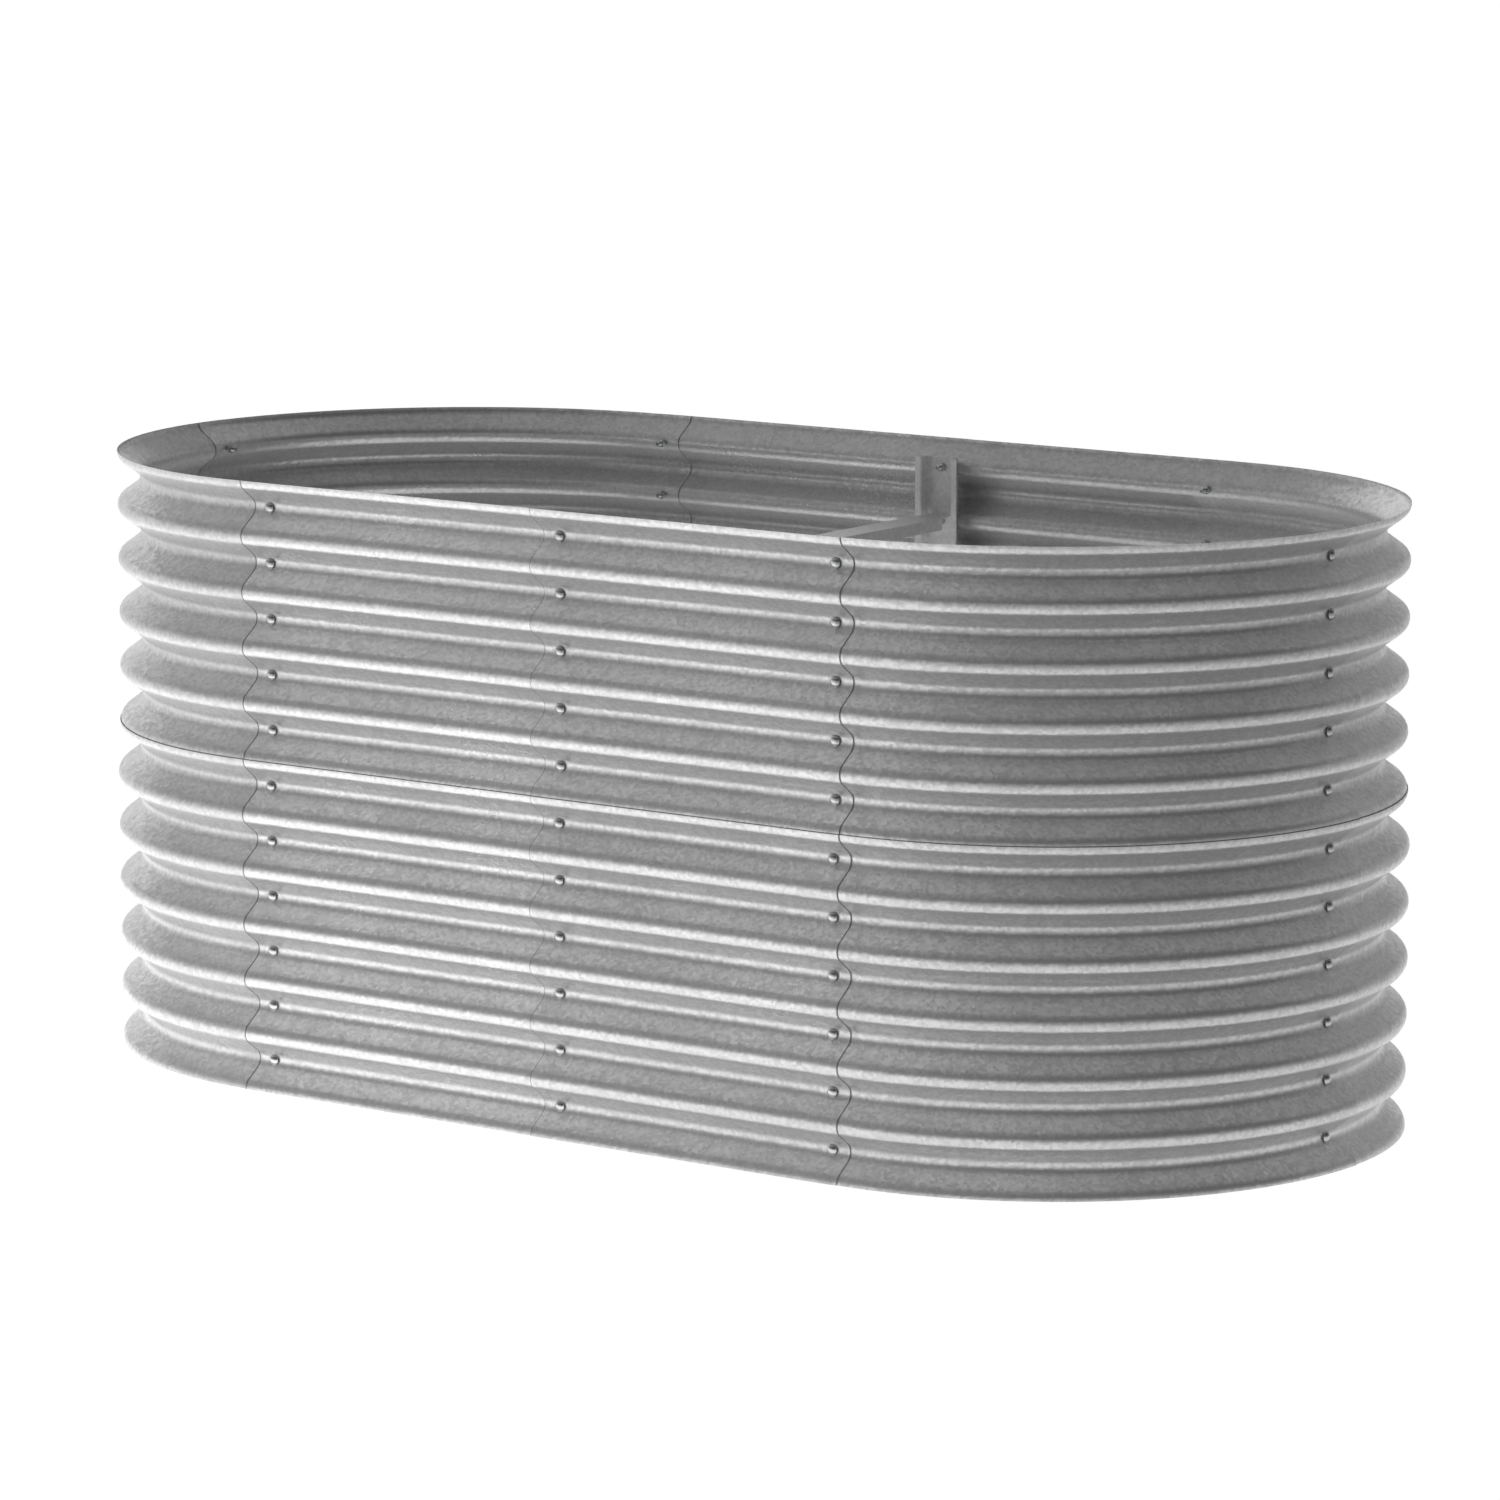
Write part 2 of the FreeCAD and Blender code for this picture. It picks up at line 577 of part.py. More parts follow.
# ---------------------------------------------------------------- the bed
pieces = []
for tier in TIERS:
    for side in ("front", "back"):
        for half in ("left", "right"):
            pieces.append(build_wall(tier, side, half))
            pieces.append(build_curve(tier, side, half))
    pieces.append(build_brace(tier))
for side in ("front", "back"):
    pieces.append(build_post(side))
forms = {"bolts": bolt_form(), "washers": washer_form(), "nuts": nut_form()}
doc.recompute()
for column in COLUMNS:
    pieces.extend(build_fasteners(column, forms))
doc.recompute()

for item in doc.Objects:
    if "Invalid" in item.State or "Error" in item.State:
        raise RuntimeError("%s failed: %s" % (item.Name, item.State))
for piece in pieces:
    if piece.Shape.isNull() or not piece.Shape.isValid() or not piece.Shape.Solids:
        raise RuntimeError("%s has no valid solid" % piece.Label)

os.makedirs("parts", exist_ok=True)
for piece in pieces:
    piece.Shape.exportStep("parts/%s.step" % piece.Label)
    print("%-26s %2d solids %9.0f mm3" % (piece.Label, len(piece.Shape.Solids), piece.Shape.Volume))
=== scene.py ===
"""Raised garden bed: the finish of its corrugated panels, posts, braces and fasteners."""

import math

import bmesh
import bpy
from mathutils import Matrix, Vector


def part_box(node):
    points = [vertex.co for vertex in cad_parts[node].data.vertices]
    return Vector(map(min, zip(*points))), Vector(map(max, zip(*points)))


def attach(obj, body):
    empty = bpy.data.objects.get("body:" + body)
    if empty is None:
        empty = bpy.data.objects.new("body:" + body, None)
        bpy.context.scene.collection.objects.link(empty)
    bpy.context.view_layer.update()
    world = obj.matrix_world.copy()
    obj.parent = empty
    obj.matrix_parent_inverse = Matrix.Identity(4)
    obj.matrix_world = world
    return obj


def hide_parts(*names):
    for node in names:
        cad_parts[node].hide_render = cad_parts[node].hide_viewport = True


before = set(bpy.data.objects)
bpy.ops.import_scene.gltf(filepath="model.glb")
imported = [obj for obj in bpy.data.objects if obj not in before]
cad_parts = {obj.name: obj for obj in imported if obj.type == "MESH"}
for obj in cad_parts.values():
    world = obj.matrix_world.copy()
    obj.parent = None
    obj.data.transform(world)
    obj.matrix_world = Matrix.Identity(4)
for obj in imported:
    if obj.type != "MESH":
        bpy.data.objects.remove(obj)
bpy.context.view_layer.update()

# ---------------------------------------------------------------- straight wall panels
# Eight flat-run panels of 0.6 mm steel sheet, roll-formed into lengthwise waves and then
# hot-dip galvanised. They lap over each other in the middle of each long side, where the
# joint shows as a thin wavy line, and the lower tier laps outside the upper one.
SHEET_GAUGE = 0.0006
BEND_RADIUS = 0.014  # middle of the sheet in crests and valleys
WAVES_PER_PANEL = 6
BEND_STEPS = 6  # facets of half a crest

SPANGLE = 0.0045  # zinc crystals, 2 to 4 mm on the real sheet, drawn coarser so that they show
MOTTLE = 0.0022  # grain within a crystal, coarser than real for the same reason
DRIFT = 0.16  # slow change of tone along a panel, from uneven cooling of the zinc
LAP_SHADOW_ZONE = {"left": 0.0022, "right": 0.0008}  # painted shadow of the lap joints: a dark strip along the outer face at a panel's sheared ends, wider at the left ends
TIER_SHADOW_LINE = 0.0006  # half the height of the painted shadow line between the tiers
RIM_LEAN = 0.003  # the bolts draw the lower tier's top edge in against the upper tier
HEAD_CLEARANCE = 0.008  # above the middle of the topmost valley, over the bolt heads
CLOSE_LAP = 0.0014  # between the middles of two panels that touch
BOLT_INSET = 0.025  # from a panel's end to its line of bolts
SHEET, LAP_SHADOW = 0, 1  # material slots of a panel: its zinc and the painted lap shadow
OUTER_FACE = -0.3  # a face that looks inwards less than this lies on the outside
TIERS = ("lower", "upper")
SIDES = ("front", "back")
HALVES = ("left", "right")


def linear(code):
    """Linear colour of an sRGB hex code."""
    parts = [int(code[i:i + 2], 16) / 255 for i in (1, 3, 5)]
    return [c / 12.92 if c <= 0.04045 else ((c + 0.055) / 1.055) ** 2.4 for c in parts] + [1.0]


def add_node(tree, kind, inputs=None, **settings):
    """Add a node, set its properties, and set or link its inputs."""
    node = tree.nodes.new(kind)
    for name, value in settings.items():
        setattr(node, name, value)
    for socket, value in (inputs or {}).items():
        if isinstance(value, bpy.types.NodeSocket):
            tree.links.new(value, node.inputs[socket])
        else:
            node.inputs[socket].default_value = value
    return node


def galvanised_sheet(name, light_zinc, dark_zinc, dullness, patina, shift):
    """Hot-dip galvanised sheet.

    The zinc froze in flat crystals that each tilt the reflection a little their own
    way, so bright bands look flecked and dark ones look smooth.
    """
    material = bpy.data.materials.new(name)
    material.use_nodes = True
    tree = material.node_tree
    shader = tree.nodes["Principled BSDF"]
    place = add_node(tree, "ShaderNodeMapping", {
        "Vector": add_node(tree, "ShaderNodeTexCoord").outputs["Object"],
        "Location": (shift, 0.37 * shift, 0.61 * shift)}).outputs["Vector"]
    crystal = add_node(tree, "ShaderNodeTexVoronoi", {"Vector": place, "Scale": 1 / SPANGLE},
                       feature="F1")
    grain = add_node(tree, "ShaderNodeTexNoise", {"Vector": place, "Scale": 1 / MOTTLE,
                                                  "Detail": 2.0, "Roughness": 0.6})
    drift = add_node(tree, "ShaderNodeTexNoise", {"Vector": place, "Scale": 1 / DRIFT,
                                                  "Detail": 3.0, "Roughness": 0.5})
    # each crystal's own tilt
    centred = add_node(tree, "ShaderNodeVectorMath", {
        0: crystal.outputs["Color"], 1: (0.5, 0.5, 0.5)}, operation="SUBTRACT")
    tilt = add_node(tree, "ShaderNodeVectorMath", {
        0: centred.outputs["Vector"], "Scale": 0.09}, operation="SCALE")
    turned = add_node(tree, "ShaderNodeVectorMath", {
        0: add_node(tree, "ShaderNodeNewGeometry").outputs["Normal"],
        1: tilt.outputs["Vector"]}, operation="ADD")
    facet = add_node(tree, "ShaderNodeVectorMath", {0: turned.outputs["Vector"]},
                     operation="NORMALIZE")
    bump = add_node(tree, "ShaderNodeBump", {
        "Height": grain.outputs["Fac"], "Strength": 0.2, "Distance": 0.0004,
        "Normal": facet.outputs["Vector"]})
    # tone and dullness differ from crystal to crystal and drift along the sheet
    crystal_tone = add_node(tree, "ShaderNodeSeparateColor", {0: crystal.outputs["Color"]})
    mixed = add_node(tree, "ShaderNodeMath", {
        0: crystal_tone.outputs["Red"], 1: grain.outputs["Fac"]}, operation="MULTIPLY")
    tone = add_node(tree, "ShaderNodeMapRange", {
        "Value": mixed.outputs["Value"], "From Min": 0.05, "From Max": 0.55})
    drifted = add_node(tree, "ShaderNodeMath", {
        0: tone.outputs["Result"], 1: drift.outputs["Fac"]}, operation="ADD")
    share = add_node(tree, "ShaderNodeMapRange", {
        "Value": drifted.outputs["Value"], "From Min": 0.3, "From Max": 1.4})
    colour = add_node(tree, "ShaderNodeMix", {
        "Factor": share.outputs["Result"], 6: linear(light_zinc), 7: linear(dark_zinc)},
        data_type="RGBA")
    rough = add_node(tree, "ShaderNodeMapRange", {
        "Value": share.outputs["Result"], "To Min": dullness - 0.05, "To Max": dullness + 0.08})
    # painted shadow: a thin dark line along the top edge of the lower tier, on the sheets of both
    # tiers
    in_tier_shadow = add_node(tree, "ShaderNodeMath", {
        0: add_node(tree, "ShaderNodeSeparateXYZ", {
            "Vector": add_node(tree, "ShaderNodeTexCoord").outputs["Object"]}).outputs["Z"],
        1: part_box("lower_front_right_wall")[1].z, 2: TIER_SHADOW_LINE}, operation="COMPARE")
    tier_shaded = add_node(tree, "ShaderNodeMix", {
        "Factor": in_tier_shadow.outputs["Value"], 6: colour.outputs[2], 7: linear("#808080")},
        data_type="RGBA")
    tree.links.new(tier_shaded.outputs[2], shader.inputs["Base Color"])
    tree.links.new(rough.outputs["Result"], shader.inputs["Roughness"])
    tree.links.new(bump.outputs["Normal"], shader.inputs["Normal"])
    shader.inputs["Metallic"].default_value = 1 - patina  # the dull film scatters some light
    return material


def turned_edge(mesh_edit, vert, centre, angle):
    """Draw a vertex round a centre, about X, as an arc of edges. Returns its last vertex."""
    steps = max(1, round(abs(angle) / CREST_TURN * BEND_STEPS))
    swept = bmesh.ops.spin(mesh_edit, geom=[vert], cent=centre, axis=(1, 0, 0), angle=angle,
                           steps=steps, use_merge=False, use_normal_flip=False)
    return next(g for g in swept["geom_last"] if isinstance(g, bmesh.types.BMVert))


def drawn_edge(mesh_edit, vert, move):
    """Draw a vertex straight to its next place. Returns the new vertex."""
    new = bmesh.ops.extrude_vert_indiv(mesh_edit, verts=[vert])["verts"]
    bmesh.ops.translate(mesh_edit, verts=new, vec=move)
    return new[0]


def sheet_end(mesh_edit, reach, start_x):
    """The cut end of a panel, as a strip of faces across the sheet at x = start_x.

    reach is from the long axis of the bed to the middle of the waves; the outside of
    the sheet faces -Y.
    """
    crest = -(reach + WAVE_DEPTH / 2 - BEND_RADIUS)
    valley = -(reach - WAVE_DEPTH / 2 + BEND_RADIUS)
    for swell in (SHEET_GAUGE / 2, -SHEET_GAUGE / 2):  # outer face, then inner face
        over, under = BEND_RADIUS + swell, BEND_RADIUS - swell
        flank = Vector((0, valley - crest + (over + under) * math.cos(CREST_TURN),
                        WAVE_PITCH / 2 - (over + under) * math.sin(CREST_TURN)))
        climb = Vector((0, -flank.y, flank.z))
        at = bmesh.ops.create_vert(mesh_edit, co=(start_x, crest - over, 0))["vert"][0]
        at = turned_edge(mesh_edit, at, (start_x, crest, 0), -CREST_TURN)
        at = drawn_edge(mesh_edit, at, flank)
        at = turned_edge(mesh_edit, at, (start_x, valley, WAVE_PITCH / 2), 2 * CREST_TURN)
        at = drawn_edge(mesh_edit, at, climb)
        turned_edge(mesh_edit, at, (start_x, crest, WAVE_PITCH), -CREST_TURN)
    bmesh.ops.bridge_loops(mesh_edit, edges=mesh_edit.edges[:])
    wave = mesh_edit.faces[:]
    for number in range(1, WAVES_PER_PANEL):
        copy = bmesh.ops.duplicate(mesh_edit, geom=wave)["geom"]
        bmesh.ops.translate(mesh_edit, verts=[g for g in copy if isinstance(g, bmesh.types.BMVert)],
                            vec=(0, 0, number * WAVE_PITCH))
    bmesh.ops.remove_doubles(mesh_edit, verts=mesh_edit.verts[:], dist=1e-6)
    return mesh_edit.faces[:]


def run_out(mesh_edit, faces, length, slot=SHEET):
    """Carry the cut end on along X. Returns the new end."""
    for face in faces:
        face.material_index = slot
    new = bmesh.ops.extrude_face_region(mesh_edit, geom=faces)["geom"]
    bmesh.ops.translate(mesh_edit, verts=[g for g in new if isinstance(g, bmesh.types.BMVert)],
                        vec=(length, 0, 0))
    return [g for g in new if isinstance(g, bmesh.types.BMFace)]


def finished(mesh_edit, name, materials, crease=40):
    """Make the piece from its mesh, smooth but for its sharp edges."""
    bmesh.ops.remove_doubles(mesh_edit, verts=mesh_edit.verts[:], dist=1e-6)
    bmesh.ops.recalc_face_normals(mesh_edit, faces=mesh_edit.faces[:])
    mesh = bpy.data.meshes.new(name)
    mesh_edit.to_mesh(mesh)
    mesh_edit.free()
    mesh.shade_smooth()
    mesh.set_sharp_from_angle(angle=math.radians(crease))
    for material in materials:
        mesh.materials.append(material)
    piece = bpy.data.objects.new(name, mesh)
    bpy.context.scene.collection.objects.link(piece)
    return piece


def stand_in(piece, node):
    """The piece takes the place of a node and stays with the bed."""
    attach(piece, "root")
    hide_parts(node)


low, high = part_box("lower_front_right_wall")
HALF_RUN = high.x
WAVE_PITCH = (high.z - low.z) / WAVES_PER_PANEL
WAVE_DEPTH = high.y - low.y - SHEET_GAUGE
BEND_OFFSET = WAVE_DEPTH - 2 * BEND_RADIUS
CREST_TURN = math.atan(BEND_OFFSET / (WAVE_PITCH / 2)) + math.asin(
    2 * BEND_RADIUS / math.hypot(WAVE_PITCH / 2, BEND_OFFSET))

# painted shadow of the lap joints: dull dark steel on a strip of the outer face at each cut end
lap_shadow_paint = bpy.data.materials.new("painted_lap_shadow")
lap_shadow_paint.use_nodes = True
for socket, value in (("Base Color", linear("#8c8c8c")), ("Metallic", 1.0), ("Roughness", 0.55)):
    lap_shadow_paint.node_tree.nodes["Principled BSDF"].inputs[socket].default_value = value

# painted light and shade: the coils are lighter and darker copies of one sheet, given to the panels
# on which the light falls more or less brightly; two of them are also duller, with more patina
coil_lit = galvanised_sheet("galvanised_sheet_lit", "#dadada", "#c8c8c8", 0.31, 0.25, 0.0)
coil_plain = galvanised_sheet("galvanised_sheet_plain", "#d7d7d7", "#c4c4c4", 0.32, 0.27, 2.3)
coil_shaded_matt = galvanised_sheet("galvanised_sheet_shaded_matt", "#d6d6d6", "#c3c3c3", 0.36, 0.5, 5.1)
coil_lit_matt = galvanised_sheet("galvanised_sheet_lit_matt", "#dedede", "#cbcbcb", 0.36, 0.5, 3.7)

# painted light: both left walls take the lighter coil
WALL_COILS = {("front", "left"): coil_lit, ("front", "right"): coil_plain,
              ("back", "left"): coil_lit, ("back", "right"): coil_plain}


def drawn_in(mesh_edit):
    """Lean the last flank below a panel's top edge inwards."""
    top = WAVES_PER_PANEL * WAVE_PITCH
    start = top - WAVE_PITCH / 2 + HEAD_CLEARANCE
    for vert in mesh_edit.verts:
        if vert.co.z > start:
            axis_point = Vector((max(-HALF_RUN, min(HALF_RUN, vert.co.x)), 0, vert.co.z))
            lean = RIM_LEAN * (vert.co.z - start) / (top - start)
            vert.co += lean * (axis_point - vert.co).normalized()


def bare_inside(mesh_edit):
    """Keep the painted shadow strip to the outer face, where it shows as the joint's line."""
    bmesh.ops.remove_doubles(mesh_edit, verts=mesh_edit.verts[:], dist=1e-6)
    bmesh.ops.recalc_face_normals(mesh_edit, faces=mesh_edit.faces[:])
    for face in mesh_edit.faces:
        middle = face.calc_center_median()
        inward = Vector((max(-HALF_RUN, min(HALF_RUN, middle.x)), 0, middle.z)) - middle
        if face.normal.dot(inward.normalized()) > OUTER_FACE:
            face.material_index = SHEET


def hang(mesh_edit, node, foot_height, coil):
    """Finish a panel, lift it to its tier and turn those of the back round."""
    bare_inside(mesh_edit)
    if node.startswith("lower"):
        drawn_in(mesh_edit)
    bmesh.ops.translate(mesh_edit, verts=mesh_edit.verts[:], vec=(0, 0, foot_height))
    if "_back_" in node:
        bmesh.ops.rotate(mesh_edit, verts=mesh_edit.verts[:], cent=(0, 0, 0),
                         matrix=Matrix.Rotation(math.pi, 3, "Z"))
    stand_in(finished(mesh_edit, node + "_sheet", (coil, lap_shadow_paint)), node)


def panel_reach(side, low, high):
    """From the bed's long axis to the middle of a panel's waves."""
    return (-low.y if side == "front" else high.y) - WAVE_DEPTH / 2 - SHEET_GAUGE / 2


for tier in TIERS:
    for side in SIDES:
        for half in HALVES:
            node = f"{tier}_{side}_{half}_wall"
            low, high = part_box(node)
            start, end = (low.x, high.x) if side == "front" else (-high.x, -low.x)
            edit = bmesh.new()
            cut = sheet_end(edit, panel_reach(side, low, high), start)
            # painted shadow strips at both ends, where the panels lap
            cut = run_out(edit, cut, LAP_SHADOW_ZONE[half], LAP_SHADOW)
            cut = run_out(edit, cut, BOLT_INSET - LAP_SHADOW_ZONE[half])
            cut = run_out(edit, cut, end - start - 2 * BOLT_INSET)
            cut = run_out(edit, cut, BOLT_INSET - LAP_SHADOW_ZONE[half])
            run_out(edit, cut, LAP_SHADOW_ZONE[half], LAP_SHADOW)
            # past the bolts the outer end bends in to the curved panel under it
            gap = (panel_reach(side, low, high) - CLOSE_LAP
                   - panel_reach(side, *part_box(f"{tier}_{side}_{half}_curve")))
            for vert in edit.verts:
                vert.co.y += gap * max(0, 1 - (HALF_RUN - abs(vert.co.x)) / BOLT_INSET)
            hang(edit, node, low.z, WALL_COILS[side, half])

# ---------------------------------------------------------------- quarter-round end panels
# Eight panels of the same sheet, waved and then rolled to a quarter round, with a short
# straight tail that tucks under the wall panel. Two of each tier run on past the tip of
# the oval, under or over the next one.
ARC_STEPS = 30  # facets of a quarter round

# painted light and shade: the front left end panel takes a darker, duller copy and the back right
# one a lighter one
END_COILS = {("front", "left"): coil_shaded_matt, ("front", "right"): coil_plain,
             ("back", "left"): coil_plain, ("back", "right"): coil_lit_matt}

for tier in TIERS:
    for side in SIDES:
        for half in HALVES:
            node = f"{tier}_{side}_{half}_curve"
            low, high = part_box(node)
            reach = panel_reach(side, low, high)
            past_tip = max(0.0, high.y if side == "front" else -low.y)
            turn = math.pi / 2 + math.asin(past_tip / (reach + WAVE_DEPTH / 2 + SHEET_GAUGE / 2))
            # as seen from its own side, the front left panel curls to the left
            to_left = (side, half) in (("front", "left"), ("back", "right"))
            tail = (high.x if half == "left" else -low.x) + HALF_RUN
            sign = -1 if to_left else 1
            edit = bmesh.new()
            cut = sheet_end(edit, reach, sign * (HALF_RUN - tail))
            # a painted shadow strip at the tail's cut end
            cut = run_out(edit, cut, sign * LAP_SHADOW_ZONE[half], LAP_SHADOW)
            cut = run_out(edit, cut, sign * (tail - BOLT_INSET - LAP_SHADOW_ZONE[half]))
            cut = run_out(edit, cut, sign * BOLT_INSET)
            # the bolts press the tail against the wall panel
            press = panel_reach(side, *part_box(f"{tier}_{side}_{half}_wall")) - reach - CLOSE_LAP
            for vert in edit.verts:
                vert.co.y -= press * min(1, (HALF_RUN - sign * vert.co.x) / BOLT_INSET)
            bmesh.ops.spin(edit, geom=cut, cent=(sign * HALF_RUN, 0, 0), axis=(0, 0, 1),
                           angle=sign * turn, steps=ARC_STEPS, use_merge=False,
                           use_normal_flip=False)
            hang(edit, node, low.z, END_COILS[side, half])

# ---------------------------------------------------------------- posts and braces
# Hat-section posts inside the middle of the long sides and channels across the bed, all
# folded from 1.5 mm pregalvanised strip. It is a shade duller than the panels and shows
# faint lines along its length from the rolls.
ROLL_LINES = 0.0011  # spacing of the rolls' lines across the strip


def galvanised_strip(name, along):
    """Pregalvanised strip: fine lines along the fold and small, flat crystals."""
    material = bpy.data.materials.new(name)
    material.use_nodes = True
    tree = material.node_tree
    shader = tree.nodes["Principled BSDF"]
    coordinates = add_node(tree, "ShaderNodeTexCoord").outputs["Object"]
    squeeze = [1 / ROLL_LINES] * 3
    squeeze[along] = 6.0
    lines = add_node(tree, "ShaderNodeTexNoise", {
        "Vector": add_node(tree, "ShaderNodeMapping", {
            "Vector": coordinates, "Scale": squeeze}).outputs["Vector"],
        "Scale": 1.0, "Detail": 2.0})
    crystal = add_node(tree, "ShaderNodeTexVoronoi", {"Vector": coordinates,
                                                      "Scale": 1 / SPANGLE}, feature="F1")
    tone = add_node(tree, "ShaderNodeSeparateColor", {0: crystal.outputs["Color"]})
    colour = add_node(tree, "ShaderNodeMix", {
        "Factor": tone.outputs["Green"], 6: linear("#ececec"), 7: linear("#dcdcdc")},
        data_type="RGBA")
    rough = add_node(tree, "ShaderNodeMapRange", {
        "Value": lines.outputs["Fac"], "To Min": 0.34, "To Max": 0.52})
    bump = add_node(tree, "ShaderNodeBump", {
        "Height": lines.outputs["Fac"], "Strength": 0.15, "Distance": 0.0002})
    tree.links.new(colour.outputs[2], shader.inputs["Base Color"])
    tree.links.new(rough.outputs["Result"], shader.inputs["Roughness"])
    tree.links.new(bump.outputs["Normal"], shader.inputs["Normal"])
    shader.inputs["Metallic"].default_value = 0.35  # dulled by handling and storage
    return material


post_strip = galvanised_strip("pregalvanised_strip_post", 2)
brace_strip = galvanised_strip("pregalvanised_strip_brace", 1)
for node, strip in (("front_post", post_strip), ("back_post", post_strip),
                    ("upper_brace", brace_strip), ("lower_brace", brace_strip)):
    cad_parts[node].material_slots[0].material = strip

# ---------------------------------------------------------------- bolts
# Domed M6 bolts of steel with a bright zinc plating, one in every valley of each lap. The
# head is smooth and turned outwards, and the thread ends inside the bed past the nut.
BOLT_RADIUS = 0.003
HEAD_RADIUS = 0.007
HEAD_RISE = 0.0036
HEAD_RIM = 0.0008
BOLT_LENGTH = 0.018
THREAD_PITCH = 0.001
THREAD_DEPTH = 0.00055
THREAD_RUN = 0.010  # threaded stretch that can be seen, drawn as rings
CROWN_STEPS = 6  # facets from the middle of the head to its rim
SPIN_STEPS = 20


def bright_zinc(name, light, dark, dullness):
    """Electroplated zinc: bright and smooth, with faint cloudiness."""
    material = bpy.data.materials.new(name)
    material.use_nodes = True
    tree = material.node_tree
    shader = tree.nodes["Principled BSDF"]
    cloud = add_node(tree, "ShaderNodeTexNoise", {
        "Vector": add_node(tree, "ShaderNodeTexCoord").outputs["Object"],
        "Scale": 1 / 0.004, "Detail": 3.0})
    colour = add_node(tree, "ShaderNodeMix", {
        "Factor": cloud.outputs["Fac"], 6: linear(light), 7: linear(dark)}, data_type="RGBA")
    rough = add_node(tree, "ShaderNodeMapRange", {
        "Value": cloud.outputs["Fac"], "To Min": dullness - 0.05, "To Max": dullness + 0.05})
    tree.links.new(colour.outputs[2], shader.inputs["Base Color"])
    tree.links.new(rough.outputs["Result"], shader.inputs["Roughness"])
    shader.inputs["Metallic"].default_value = 1.0
    return material


bolt_zinc = bright_zinc("bright_zinc_bolt", "#cbcccd", "#b4b5b6", 0.13)


def fastener_places(node):
    """For each fastener of a group: a point on the bed's axis, the way outwards and its tip."""
    solids = bmesh.new()
    solids.from_mesh(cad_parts[node].data)
    by_row = {}
    for vert in solids.verts:
        by_row.setdefault(int(vert.co.z // WAVE_PITCH), []).append(vert.co.copy())
    solids.free()
    places = []
    for row, points in sorted(by_row.items()):
        middle = sum(points, Vector()) / len(points)
        axis_point = Vector((max(-HALF_RUN, min(HALF_RUN, middle.x)), 0, middle.z))
        outward = (middle - axis_point).normalized()
        tip = max((point - axis_point).dot(outward) for point in points)
        centre = axis_point.copy()
        centre.z = (row + 0.5) * WAVE_PITCH
        places.append((centre, outward, tip))
    return places


def turned_part(outline, steps=SPIN_STEPS):
    """A turned part about Z from (radius, height) corners."""
    edit = bmesh.new()
    verts = [edit.verts.new((radius, 0, height)) for radius, height in outline]
    edges = [edit.edges.new(pair) for pair in zip(verts, verts[1:])]
    bmesh.ops.spin(edit, geom=verts + edges, cent=(0, 0, 0), axis=(0, 0, 1),
                   angle=2 * math.pi, steps=steps, use_merge=True, use_normal_flip=False)
    bmesh.ops.remove_doubles(edit, verts=edit.verts[:], dist=1e-6)
    return edit


def set_in_place(form, places, name, material, node):
    """Copy one form to every place of a group, with its Z outwards, and join the copies."""
    edit = bmesh.new()
    pattern = bpy.data.meshes.new("pattern")
    form.to_mesh(pattern)
    for seat, outward, roll in places:
        upward = Vector((0, 0, 1))
        across = upward.cross(outward)
        turn = Matrix((across, outward.cross(across), outward)).transposed().to_4x4()
        before = set(edit.verts)
        edit.from_mesh(pattern)
        new = [vert for vert in edit.verts if vert not in before]
        bmesh.ops.transform(edit, verts=new, space=Matrix.Identity(4),
                            matrix=Matrix.Translation(seat) @ turn @ Matrix.Rotation(roll, 4, "Z"))
    bpy.data.meshes.remove(pattern)
    stand_in(finished(edit, name, [material], crease=35), node)


crown = (HEAD_RADIUS ** 2 + (HEAD_RISE - HEAD_RIM) ** 2) / (2 * (HEAD_RISE - HEAD_RIM))
crown_edge = math.asin(HEAD_RADIUS / crown)
bolt_outline = [(0, HEAD_RISE)]
for step in range(1, CROWN_STEPS + 1):
    angle = crown_edge * step / CROWN_STEPS
    bolt_outline.append((crown * math.sin(angle), HEAD_RISE - crown * (1 - math.cos(angle))))
bolt_outline += [(HEAD_RADIUS, 0), (BOLT_RADIUS, 0), (BOLT_RADIUS, THREAD_RUN - BOLT_LENGTH)]
for turn_number in range(round(THREAD_RUN / THREAD_PITCH)):
    top = THREAD_RUN - BOLT_LENGTH - turn_number * THREAD_PITCH
    bolt_outline += [(BOLT_RADIUS - THREAD_DEPTH, top - 0.4 * THREAD_PITCH),
                     (BOLT_RADIUS, top - 0.9 * THREAD_PITCH)]
bolt_outline += [(BOLT_RADIUS - THREAD_DEPTH, -BOLT_LENGTH), (0, -BOLT_LENGTH)]
bolt_form = turned_part(bolt_outline)

COLUMNS = ("front_left", "front_middle", "front_right", "right_end",
           "back_right", "back_middle", "back_left", "left_end")
for column in COLUMNS:
    node = column + "_bolts"
    places = [(centre + outward * (tip - HEAD_RISE), outward, 0.0)
              for centre, outward, tip in fastener_places(node)]
    set_in_place(bolt_form, places, node + "_turned", bolt_zinc, node)
bolt_form.free()

# ---------------------------------------------------------------- washers and nuts
# Punched steel washers with softly rolled edges and hexagon nuts with chamfered corners,
# zinc-plated like the bolts, on the inside of every lap.
WASHER_RADIUS = 0.006
WASHER_GAUGE = 0.0012
BORE_RADIUS = 0.00315
EDGE_ROLL = 0.00025
NUT_FLATS = 0.010
NUT_HEIGHT = 0.005
NUT_SIDE_CUTS = 4
NUT_CORNER_START = 0.97  # of the half width across flats, where the cone begins
NUT_CORNER_ANGLE = math.radians(30)
NUT_TURN = 0.35  # each nut stops a little further round than the last

